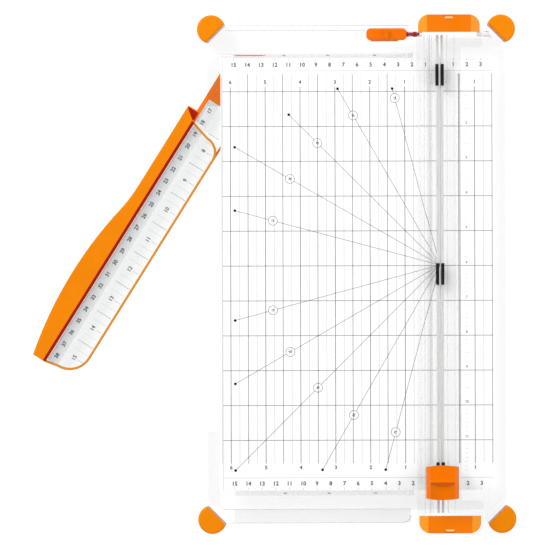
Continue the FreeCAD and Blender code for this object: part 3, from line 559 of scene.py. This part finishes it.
SHEET_MARGIN = 1.3 * MM
GRID_REAR = 145.8 * MM
GRID_FRONT = -137.8 * MM
GRID_NUMBER = 2.6 * MM
NUMBER_REAR = 139.9 * MM
NUMBER_FRONT = -140.8 * MM
NUMBER_CLEAR = 3.2 * MM
ROW_ZERO = 158.5 * MM
ROWS = 11
RIBBON = (148.2 * MM, 157.0 * MM)
RIBBON_MIDDLE = 152.5 * MM
RIBBON_NUMBER = 2.9 * MM
CENTIMETRE_TICK = 1.6 * MM
HALF_TICK = 1.0 * MM
FINE_TICK = 0.2 * MM
BORDER_LINE = 0.3 * MM
WIDTHS = {"ink_dark": 0.4 * MM, "ink_mid": 0.46 * MM, "ink_light": 0.32 * MM}
QUARTER_FINISHES = ("ink_dark", "ink_light", "ink_mid", "ink_light")
# Quarter inches from the cut that have a line. The half inch on the left has none.
LEFT_QUARTERS = (1, *range(3, 26))
RIGHT_QUARTERS = (4, 5, 6)


def grid_columns(sheets, side, quarters):
    """Upright lines a quarter of an inch apart on one side of the cut, with the whole inches numbered."""
    for quarter in quarters:
        x = CUT_X + side * quarter * INCH / 4
        whole = quarter % 4 == 0
        finish = QUARTER_FINISHES[quarter % 4]
        rear = NUMBER_REAR - NUMBER_CLEAR if whole else GRID_REAR
        sheets[finish].line((x, GRID_FRONT), (x, rear), WIDTHS[finish])
        if whole:
            sheets["ink_dark"].number(quarter // 4, (x, NUMBER_REAR), GRID_NUMBER)
            sheets["ink_dark"].number(quarter // 4, (x, NUMBER_FRONT), GRID_NUMBER)


def grid_rows(sheets, x):
    for row in range(1, ROWS + 1):
        y = ROW_ZERO - row * INCH
        sheets["ink_mid"].line((x[0], y), (x[1], y), WIDTHS["ink_mid"])


def centimetre_ribbons(sheets, side, numbers, x):
    """The bands at both ends of the bed with their centimetre numbers and ticks."""
    for end in (1, -1):
        inner, outer = (end * place for place in RIBBON)
        sheets["ribbon"].block(x, (inner, outer))
        sheets["ink_light"].line((x[0], inner), (x[1], inner), BORDER_LINE)
        for number in numbers:
            place = CUT_X + side * number * CENTIMETRE
            sheets["ink_dark"].number(number, (place, end * RIBBON_MIDDLE), RIBBON_NUMBER)
            sheets["ink_mid"].line((place, outer), (place, outer - end * CENTIMETRE_TICK), FINE_TICK)
            half = place + side * CENTIMETRE / 2
            if x[0] < half < x[1]:
                sheets["ink_light"].line((half, outer), (half, outer - end * HALF_TICK), FINE_TICK)


FAN_CENTRE = Vector((CUT_X, 6.5 * MM))
FAN_DEGREES = (-75, -60, -45, -30, -15, 15, 30, 45, 60, 75)
FAN_LEFT = -29.1 * MM
FAN_REAR = 135.1 * MM
FAN_FRONT = -142.4 * MM
FAN_DIAGONAL = 45
FAN_DIAGONAL_REACH = 155.3 * MM
FAN_LINE = 0.38 * MM
FAN_DOT = 1.0 * MM
LABEL_REACH = 126 * MM
LABEL_RADIUS = 3.3 * MM
LABEL_LINE = 0.4 * MM
LABEL_NUMBER = 1.7 * MM


def fan_line(degrees):
    """An angle line's direction and length: to the bed's left, or to its rear or front if that comes first.

    The diagonal to the rear stops sooner.
    """
    way = Vector((-math.cos(math.radians(degrees)), math.sin(math.radians(degrees))))
    reach = (FAN_LEFT - FAN_CENTRE.x) / way.x
    if degrees == FAN_DIAGONAL:
        reach = FAN_DIAGONAL_REACH
    elif abs(degrees) > FAN_DIAGONAL:
        reach = ((FAN_REAR if degrees > 0 else FAN_FRONT) - FAN_CENTRE.y) / way.y
    return way, reach


def angle_fan(sheets):
    """Lines at each 15 degrees from the middle of the cut, each with its number in a ring and a dot."""
    for degrees in FAN_DEGREES:
        way, reach = fan_line(degrees)
        label = FAN_CENTRE + way * LABEL_REACH
        before = FAN_CENTRE + way * (LABEL_REACH - LABEL_RADIUS)
        after = FAN_CENTRE + way * (LABEL_REACH + LABEL_RADIUS)
        sheets["ink_mid"].line(FAN_CENTRE, before, FAN_LINE)
        if reach > LABEL_REACH + LABEL_RADIUS:
            sheets["ink_mid"].line(after, FAN_CENTRE + way * reach, FAN_LINE)
        sheets["ink_mid"].ring(label, LABEL_RADIUS, LABEL_LINE)
        sheets["ink_dark"].number(abs(degrees), label, LABEL_NUMBER, -math.radians(degrees))
        sheets["ink_black"].dot(FAN_CENTRE + way * reach, FAN_DOT)


RULE_BASE = 13.85 * MM
RULE_TICKS = 16.2 * MM
RULE_TICK = {"half": 3.2 * MM, "eighth": 2.2 * MM}
RULE_TICK_WIDTH = 0.22 * MM
RULE_NUMBER = 1.8 * MM
RULE_NUMBER_AT = (1.4 * MM, 2.4 * MM)


def edge_rule(sheets):
    """The upright rule beside the rail: a tick each eighth of an inch and a number at each inch."""
    base = CUT_X + RULE_BASE
    sheets["ink_dark"].line((base, GRID_FRONT), (base, GRID_REAR), WIDTHS["ink_dark"])
    x = OFFCUT_LOW.x + RULE_TICKS
    for eighth in range(1, 8 * ROWS):
        y = ROW_ZERO - INCH - eighth * INCH / 8
        if eighth % 8 == 0:
            place = (x + RULE_NUMBER_AT[0], y + RULE_NUMBER_AT[1])
            sheets["ink_mid"].number(eighth // 8 + 1, place, RULE_NUMBER)
        tick = RULE_TICK["half" if eighth % 4 == 0 else "eighth"]
        sheets["ink_light"].line((x, y), (x + tick, y), RULE_TICK_WIDTH)


def print_bed():
    left = new_sheets("ribbon", "ink_light", "ink_mid", "ink_dark", "ink_black")
    x = (BED_LOW.x + SHEET_MARGIN, BED_HIGH.x)
    centimetre_ribbons(left, -1, range(1, 16), x)
    grid_columns(left, -1, LEFT_QUARTERS)
    grid_rows(left, x)
    left["ink_light"].line((x[0], -RIBBON[1]), (x[0], RIBBON[1]), BORDER_LINE)
    angle_fan(left)
    right = new_sheets("ribbon", "ink_light", "ink_mid", "ink_dark")
    x = (OFFCUT_LOW.x, OFFCUT_HIGH.x - SHEET_MARGIN)
    centimetre_ribbons(right, 1, range(1, 4), x)
    grid_columns(right, 1, RIGHT_QUARTERS)
    grid_rows(right, x)
    edge_rule(right)
    for side, sheets in (("bed", left), ("offcut", right)):
        for layer, (finish, sheet) in enumerate(sheets.items(), start=1):
            sheet.make(f"{side}_print_{finish}", finish, "base", BED_TOP + layer * INK_LIFT)


# The arm's print and painted shade, in the arm's own frame: its pivot, +X along the arm, turned to where it
# rests

ARM_PIVOT = Vector(next(joint for joint in frame["joints"] if joint["name"] == "swing_arm")["pos_m"])
ARM_TURN = math.radians(-122.15)
ARM_TURNED = Matrix.Translation((ARM_PIVOT.x, ARM_PIVOT.y, 0)) @ Matrix.Rotation(ARM_TURN, 4, "Z")
ARM_SCALE_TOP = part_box("arm_ruler")[1].z
ARM_WINDOW_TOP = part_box("arm_window")[1].z
ARM_FENCE = -19.7 * MM
ARM_FREE_EDGE = ARM_FENCE + 24.2 * MM
ARM_CENTIMETRE_ZERO = -138.3 * MM
ARM_INCH_ZERO = -144.65 * MM
BAND = (ARM_FENCE + 0.3 * MM, ARM_FENCE + 8.9 * MM)
BAND_MIDDLE = ARM_FENCE + 4.9 * MM
BAND_NUMBER = 2.7 * MM
BAND_TICK = {"half": 1.8 * MM, "millimetre": 1.1 * MM}
BAND_TICK_WIDTH = 0.16 * MM
INCH_MIDDLE = ARM_FENCE + 16.4 * MM
INCH_NUMBER = 2.8 * MM
INCH_LINE = 0.26 * MM
INCH_TICK = (ARM_FREE_EDGE - 5 * MM, ARM_FREE_EDGE - 0.4 * MM)
HALF_INCH_START = ARM_FENCE + 12 * MM
QUARTER_START = ARM_FENCE + 12.5 * MM
QUARTER_LINE = 0.22 * MM


def arm_band(sheets, along, numbers):
    """The grey centimetre band along the arm's fence, numbered to read upright when the arm is out."""
    sheets["scale_grey"].block(along, BAND)
    for number in numbers:
        place = number * CENTIMETRE + ARM_CENTIMETRE_ZERO
        sheets["ink_dark"].number(number, (place, BAND_MIDDLE), BAND_NUMBER, math.pi)
        for millimetre in range(10):
            x = place + millimetre * MM
            tick = BAND_TICK["half" if millimetre in (0, 5) else "millimetre"]
            if along[0] < x < along[1]:
                sheets["ink_mid"].line((x, BAND[0]), (x, BAND[0] + tick), BAND_TICK_WIDTH)


def arm_inches(sheets, along, numbers):
    """The inch marks along the arm's free edge, with a long line at each half inch."""
    for number in numbers:
        x = number * INCH + ARM_INCH_ZERO
        sheets["ink_dark"].number(number, (x, INCH_MIDDLE), INCH_NUMBER, math.pi)
        sheets["ink_mid"].line((x, INCH_TICK[0]), (x, INCH_TICK[1]), INCH_LINE)
        half = x + INCH / 2
        if half < along[1]:
            sheets["ink_dark"].line((half, HALF_INCH_START), (half, ARM_FREE_EDGE), INCH_LINE)
        for quarter in (x - INCH / 4, x + INCH / 4):
            if along[0] < quarter < along[1]:
                sheets["ink_light"].line((quarter, QUARTER_START), (quarter, ARM_FREE_EDGE), QUARTER_LINE)


RULER_BAND = (47.2 * MM, 247.6 * MM)
RULER_INCHES = (50 * MM, 240 * MM)
WINDOW_BAND = (25.2 * MM, 43.6 * MM)
WINDOW_LINE = ((46.0 * MM, ARM_FENCE + 12.8 * MM), (46.0 * MM, ARM_FENCE + 22 * MM))


def print_arm():
    outer = new_sheets("scale_grey", "ink_light", "ink_mid", "ink_dark")
    arm_band(outer, RULER_BAND, range(19, 39))
    arm_inches(outer, RULER_INCHES, range(8, 16))
    inner = new_sheets("scale_grey", "ink_mid", "ink_dark")
    arm_band(inner, WINDOW_BAND, range(17, 19))
    inner["ink_dark"].line(*WINDOW_LINE, INCH_LINE)
    for part, sheets, height in (("outer", outer, ARM_SCALE_TOP), ("inner", inner, ARM_WINDOW_TOP)):
        for layer, (finish, sheet) in enumerate(sheets.items(), start=1):
            name = f"arm_{part}_{finish}"
            sheet.make(name, finish, "arm", height + layer * INK_LIFT, ARM_TURNED, "clear")


# Where the painted shade lies: the low strip's height and the stretch along and across the arm, then the
# step's height and corners
FENCE_STRIP_TOP = 9.4 * MM
FENCE_STRIP = ((44.8 * MM, 250.0 * MM), (ARM_FENCE - 2.25 * MM, ARM_FENCE - 0.05 * MM))
TOE_TOP = 6.4 * MM
# In millimetres
TOE_CORNERS = ((37.0, -21.0), (43.4, -21.0), (43.4, -29.4), (37.0, -29.4))


def fence_strip():
    """Painted shade: a dark red sheet along the foot of the handle's wall, on the low strip the handle
    shades, and another on the step at its near end.
    """
    strip = Print()
    strip.block(*FENCE_STRIP)
    strip.make("fence_strip", "fence_shade_red", "arm", FENCE_STRIP_TOP + INK_LIFT, ARM_TURNED, "crimson")
    toe = Print()
    toe.patch([(x * MM, y * MM) for x, y in TOE_CORNERS])
    toe.make("fence_toe_shade", "fence_shade_red", "arm", TOE_TOP + INK_LIFT, ARM_TURNED, "crimson")


# Painted shade lines and highlights on the mouldings, and the channel under the cut

LINER_LOW = 10.3 * MM
LINER_HIGH = 11.2 * MM
LINER_SKIN = 0.3 * MM
LINER_GAPS = (0.3 * MM, 0.1 * MM)


def slot_liner():
    """The pale channel under the cut, below the lowest that the blade reaches."""
    x0, x1 = FIXED_BLADE_HIGH.x + LINER_GAPS[0], OFFCUT_LOW.x - LINER_GAPS[1]
    z0, z1, skin = LINER_LOW, LINER_HIGH, LINER_SKIN
    profile = [(x0, z0), (x1, z0), (x1, z1), (x1 - skin, z1), (x1 - skin, z0 + skin)]
    profile += [(x0 + skin, z0 + skin), (x0 + skin, z1), (x0, z1)]
    half = FIXED_BLADE_HIGH.y
    count = len(profile)
    points = [(x, y, z) for y in (-half, half) for x, z in profile]
    faces = [(i, (i + 1) % count, (i + 1) % count + count, i + count) for i in range(count)]
    faces += [tuple(reversed(range(count))), tuple(range(count, 2 * count))]
    add_piece("slot_liner", mesh_of("slot_liner", points, faces), "liner", "base")


# How far the corner straps stand out past the base's straight edges
STRAP_OUT = 3.1 * MM
# The base's painted shade lines: their radii, height and right end, the left end of each, and the places of
# the inner two
FINE_BEAD = 0.4 * MM
FINER_BEAD = 0.3 * MM
BEAD_HEIGHT = 15.0 * MM
GAP_LEFT = 98.4 * MM
EDGE_LEFT = -33 * MM
EDGE_CORNER = 6 * MM
REAR_STEP = 177.6 * MM
REAR_STEP_ENDS = (-36 * MM, 66 * MM)
FRONT_STEP = -171.1 * MM
FRONT_STEP_LEFT = -38 * MM


def rounded_end(y):
    """The front edge's line, which turns back round a corner before the rail."""
    turns = [math.radians(90 * step / 6) for step in range(7)]
    x, corner = GAP_LEFT, EDGE_CORNER
    arc = [(x - corner + corner * math.sin(a), y + corner - corner * math.cos(a)) for a in turns]
    return [(EDGE_LEFT, y), *arc]


def edge_beads():
    """Painted shade: fine grey round lines along the base's edges, where its clear edges show dark."""
    rear, front = BASE_HIGH.y - STRAP_OUT, BASE_LOW.y + STRAP_OUT
    runs = {
        "rear_edge": (FINE_BEAD, ((EDGE_LEFT, rear), (GAP_LEFT, rear))),
        "rear_step": (FINE_BEAD, tuple((x, REAR_STEP) for x in REAR_STEP_ENDS)),
        "front_edge": (FINE_BEAD, rounded_end(front)),
        "front_step": (FINER_BEAD, ((FRONT_STEP_LEFT, FRONT_STEP), (GAP_LEFT, FRONT_STEP))),
    }
    for name, (radius, points) in runs.items():
        add_bead(f"bead_{name}", points, radius, BEAD_HEIGHT)


# Each foot's sides in X and Y, and the radius of its screw's head
CORNERS = {"rear_left": (-1, 1), "rear_right": (1, 1), "front_left": (-1, -1), "front_right": (1, -1)}
SCREW_HEAD = 2.8 * MM
# From a foot's screw to the strap's outer edge, half the strap's length, and its height
STRAP_EDGE = 4.9 * MM
STRAP_HALF = 9.2 * MM
STRAP_TOP = 14.0 * MM


def strap_edges():
    """Painted shadow: a mauve line along the strap that closes each foot's straight side."""
    low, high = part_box("foot_screws")
    for name, sides in CORNERS.items():
        x = high.x - SCREW_HEAD if sides[0] > 0 else low.x + SCREW_HEAD
        y = sides[1] * (high.y - SCREW_HEAD)
        inward = Vector((-sides[0], -sides[1])).normalized()
        along = Vector((-inward.y, inward.x))
        middle = Vector((x, y)) + inward * STRAP_EDGE
        ends = [middle + along * reach for reach in (-STRAP_HALF, STRAP_HALF)]
        add_bead(f"strap_shadow_{name}", ends, FINE_BEAD, STRAP_TOP, "strap_shadow")


# The rail's painted shade lines: X, height and finish, inside the walls and the floor
RAIL_LINE = 0.25 * MM
RAIL_LINES = (
    (109.0 * MM, 15.6 * MM, "bead"),
    (112.9 * MM, 25.1 * MM, "edge_grey"),
    (114.6 * MM, 15.6 * MM, "bead"),
    (125.6 * MM, 15.6 * MM, "bead"),
)


def rail_lines():
    """Painted shade: fine grey lines along the rail where its wall and rib edges show dark."""
    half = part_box("left_guide_rod")[1].y
    for number, (x, height, finish) in enumerate(RAIL_LINES):
        add_bead(f"rail_line_{number}", ((x, -half), (x, half)), RAIL_LINE, height, finish, "rail")


# The caps' painted highlights: their middle in X, and each long side's half length and Y
GLINT_MIDDLE = 127.0 * MM
GLINT_INNER = (3.4 * MM, 186.1 * MM)
GLINT_OUTER = (2.2 * MM, 187.3 * MM)


def cap_nicks():
    """A painted highlight, a pale lozenge near the outer edge of each end cap."""
    marks = Print()
    for end in (1, -1):
        corners = [(GLINT_MIDDLE + side * GLINT_INNER[0], end * GLINT_INNER[1]) for side in (-1, 1)]
        corners += [(GLINT_MIDDLE + side * GLINT_OUTER[0], end * GLINT_OUTER[1]) for side in (1, -1)]
        marks.patch(corners)
    marks.make("cap_nicks", "cap_glint", "rail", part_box("rear_end_cap")[1].z + INK_LIFT, None, "orange")


# Floor, light and camera

FLOOR_REACH = 3.0
FLOOR_DROP = 0.2 * MM


def floor():
    """A white floor that gives off a little light of its own, just under the feet."""
    corners = [(x * FLOOR_REACH, y * FLOOR_REACH, 0) for x, y in ((-1, -1), (1, -1), (1, 1), (-1, 1))]
    mesh = mesh_of("floor", corners, [(0, 1, 2, 3)])
    shader = Shader("studio_white")
    shader.set(Base_Color=srgb(188, 188, 188), Roughness=0.9)
    shader.set(Emission_Color=srgb(255, 255, 255), Emission_Strength=0.6)
    mesh.materials.append(shader.material)
    plane = bpy.data.objects.new("floor", mesh)
    plane.location.z = -FLOOR_DROP
    bpy.context.scene.collection.objects.link(plane)


# The surround's light by height, from level to straight up
SKY = ((0.0, 0.4), (0.1, 0.55), (0.3, 1.0), (0.75, 1.0), (0.93, 0.3), (1.0, 0.12))
SKY_LEVEL = 1.06
KEY_PLACE = (-1.3, 1.4, 1.1)
KEY_POWER = 24.0
FILL_PLACE = (1.7, 0.6, 1.0)
FILL_POWER = 8.0
LAMP_SIZE = 1.2


def sky():
    """A studio's surround by height: dim at the floor's edge, bright half way up, dimmest straight above."""
    world = bpy.data.worlds.new("studio")
    world.use_nodes = True
    tree = world.node_tree
    background = tree.nodes["Background"]
    coordinate = tree.nodes.new("ShaderNodeTexCoord")
    split = tree.nodes.new("ShaderNodeSeparateXYZ")
    ramp = tree.nodes.new("ShaderNodeValToRGB")
    stops = ramp.color_ramp.elements
    while len(stops) < len(SKY):
        stops.new(0.5)
    for stop, (height, level) in zip(stops, SKY):
        stop.position = height
        stop.color = (level, level, level, 1)
    tree.links.new(coordinate.outputs["Generated"], split.inputs[0])
    tree.links.new(split.outputs["Z"], ramp.inputs["Fac"])
    tree.links.new(ramp.outputs[0], background.inputs["Color"])
    background.inputs["Strength"].default_value = SKY_LEVEL
    bpy.context.scene.world = world


def lamp(name, place, power):
    """A round soft lamp that points at the object."""
    data = bpy.data.lights.new(name, "AREA")
    data.shape = "DISK"
    data.size = LAMP_SIZE
    data.energy = power
    made = bpy.data.objects.new(name, data)
    made.location = place
    made.rotation_euler = (-Vector(place)).to_track_quat("-Z", "Y").to_euler()
    bpy.context.scene.collection.objects.link(made)


def lights():
    sky()
    lamp("key", KEY_PLACE, KEY_POWER)
    lamp("fill", FILL_PLACE, FILL_POWER)


SENSOR = 36.0
CAMERA_HEIGHT = 12.0
CAMERA_FIELD = 400.6 * MM
CAMERA_FORWARD = 0.45 * MM
CAMERA_TURN = math.radians(-0.17)


def camera():
    """Straight above, far enough off that the view is nearly flat."""
    data = bpy.data.cameras.new("camera")
    data.sensor_width = SENSOR
    data.lens = SENSOR * CAMERA_HEIGHT / CAMERA_FIELD
    data.clip_end = 50.0
    eye = bpy.data.objects.new("camera", data)
    eye.location = (0.0, -CAMERA_FORWARD, BED_TOP + CAMERA_HEIGHT)
    eye.rotation_euler.z = CAMERA_TURN
    bpy.context.scene.collection.objects.link(eye)
    bpy.context.scene.camera = eye


bpy.context.scene.view_settings.view_transform = "Standard"
dress_nodes()
set_light_paths()
round_edges()
print_bed()
print_arm()
fence_strip()
slot_liner()
edge_beads()
strap_edges()
rail_lines()
cap_nicks()
floor()
lights()
camera()
